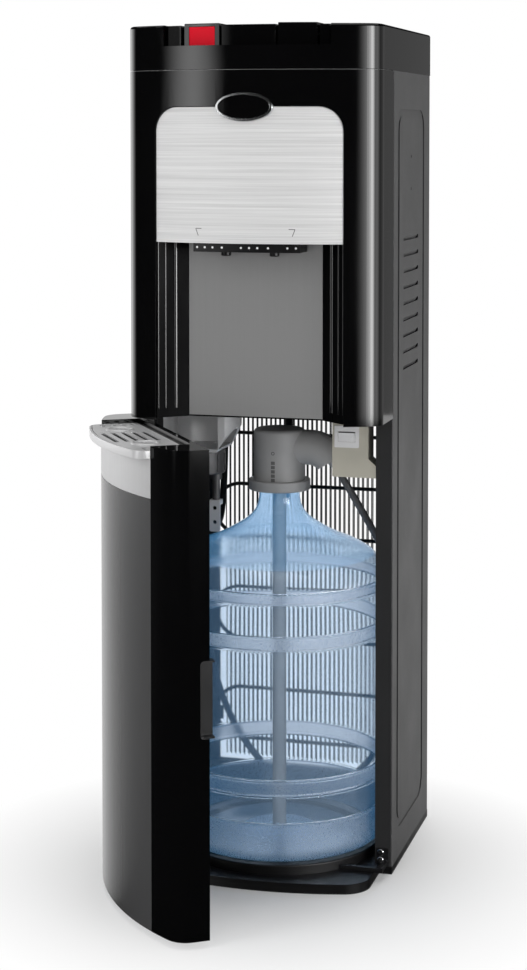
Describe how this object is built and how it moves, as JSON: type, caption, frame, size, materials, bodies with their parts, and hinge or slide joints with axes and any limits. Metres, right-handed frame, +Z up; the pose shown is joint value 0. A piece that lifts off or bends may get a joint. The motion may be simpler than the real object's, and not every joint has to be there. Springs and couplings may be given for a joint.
{
  "type": "bottom load water cooler",
  "caption": "Tall floor-standing water cooler with an open curved door, a bottle below on a probe, push buttons on top and a recessed dispensing niche.",
  "frame": {"origin": "on the floor, midway across, under the front edges of the two side panels", "axes": "+Z up, +Y from the front to the back, +X to the right seen from the front"},
  "size_m": [0.3541, 0.5358, 1.042],
  "materials": {
    "black_gloss": "high gloss black",
    "black_satin": "satin black",
    "panel_grey": "matt dark grey powder coat",
    "black_paint": "semi gloss black paint",
    "door_grey": "satin dark grey",
    "brushed_plate": "brushed across",
    "niche_steel": "dull grey",
    "silver": "satin silver",
    "red": "gloss red",
    "probe_grey": "satin mid grey",
    "housing_grey": "satin light grey",
    "pump_dark": "matt dark grey",
    "hose_grey": "soft grey",
    "black_rubber": "matt black",
    "beige": "satin beige",
    "white": "white",
    "bottle_blue": "clear pale blue",
    "bare_steel": "bright",
    "copper": "copper",
    "white_foam": "expanded foam"
  },
  "bodies": {
    "cabinet": {"base_tray": "black_satin", "rubber_feet": "black_rubber", "side_panel_right": "panel_grey", "side_panel_left": "panel_grey", "inner_frame": "bare_steel", "front_panel": "black_gloss", "face_plate": "brushed_plate", "badge_bezel": "silver", "badge_insert": "black_gloss", "niche_liner": "black_gloss", "niche_back_plate": "niche_steel", "nozzle_housing": "black_satin", "status_lights": "white", "nozzles": "black_satin", "top_cover": "black_gloss", "button_deck": "black_gloss", "hot_button_spring": "bare_steel", "cold_button_spring": "bare_steel", "button_switches": "black_satin", "compartment_ceiling": "black_paint", "rear_cover": "panel_grey", "cold_tank": "bare_steel", "tank_insulation": "white_foam", "evaporator_coil": "copper", "hot_tank": "bare_steel", "heater_band": "bare_steel", "compressor": "black_paint", "compressor_grommets": "black_rubber", "condenser": "black_paint", "condenser_clips": "black_satin", "refrigerant_line": "copper", "control_box": "black_satin", "cord_gland": "black_satin", "rear_switch_frames": "black_satin", "switch_box": "beige", "switch_frame": "white", "pump_housing": "housing_grey", "water_pump": "pump_dark", "compartment_pipes": "black_rubber", "water_bottle": "bottle_blue", "probe_cap": "probe_grey", "dip_tube": "probe_grey", "water_hose": "hose_grey", "pivot_pins": "bare_steel", "door_brackets": "black_paint", "cabinet_screws": "bare_steel"},
    "door": {"door_frame": "black_gloss", "door_skin": "door_grey", "door_band": "brushed_plate", "door_liner": "black_satin", "door_grip": "black_satin"},
    "drip_tray": {"tray_rim": "silver", "drip_basin": "black_satin", "drip_grille": "silver"},
    "hot_button": {"hot_button": "black_gloss"},
    "hot_lock": {"hot_lock_slide": "red"},
    "cold_button": {"cold_button": "black_gloss"},
    "pump_rocker": {"pump_rocker": "white"},
    "heater_rocker": {"heater_rocker": "red"},
    "cooling_rocker": {"cooling_rocker": "black_satin"}
  },
  "joints": [
    {"name": "door_hinge", "type": "hinge", "parent": "cabinet", "child": "door", "pos_m": [-0.146, -0.018, 0.29], "axis": [0, 0, 1], "range_deg": [-44, 56]},
    {"name": "drip_tray_pull", "type": "slide", "parent": "door", "child": "drip_tray", "axis": [-0.829, -0.5592, 0], "range_m": [0, 0.07]},
    {"name": "hot_button_press", "type": "hinge", "parent": "cabinet", "child": "hot_button", "pos_m": [-0.0593, -0.0445, 1.029], "axis": [1, 0, 0], "range_deg": [0, 4], "stiffness_Nm_per_rad": 4, "springref_deg": -2.86, "deforming": ["hot_button_spring"]},
    {"name": "hot_lock_push", "type": "slide", "parent": "hot_button", "child": "hot_lock", "axis": [0, 1, 0], "range_m": [0, 0.006], "stiffness_N_per_m": 150, "springref_m": -0.004},
    {"name": "cold_button_press", "type": "hinge", "parent": "cabinet", "child": "cold_button", "pos_m": [0.0593, -0.0445, 1.029], "axis": [1, 0, 0], "range_deg": [0, 4], "stiffness_Nm_per_rad": 4, "springref_deg": -2.86, "deforming": ["cold_button_spring"]},
    {"name": "pump_rocker_tilt", "type": "hinge", "parent": "cabinet", "child": "pump_rocker", "pos_m": [0.0995, 0.0052, 0.539], "axis": [-1, 0, 0], "range_deg": [0, 14]},
    {"name": "heater_rocker_tilt", "type": "hinge", "parent": "cabinet", "child": "heater_rocker", "pos_m": [0.088, 0.22505, 0.65], "axis": [1, 0, 0], "range_deg": [0, 14]},
    {"name": "cooling_rocker_tilt", "type": "hinge", "parent": "cabinet", "child": "cooling_rocker", "pos_m": [0.112, 0.22505, 0.65], "axis": [1, 0, 0], "range_deg": [0, 14]}
  ]
}
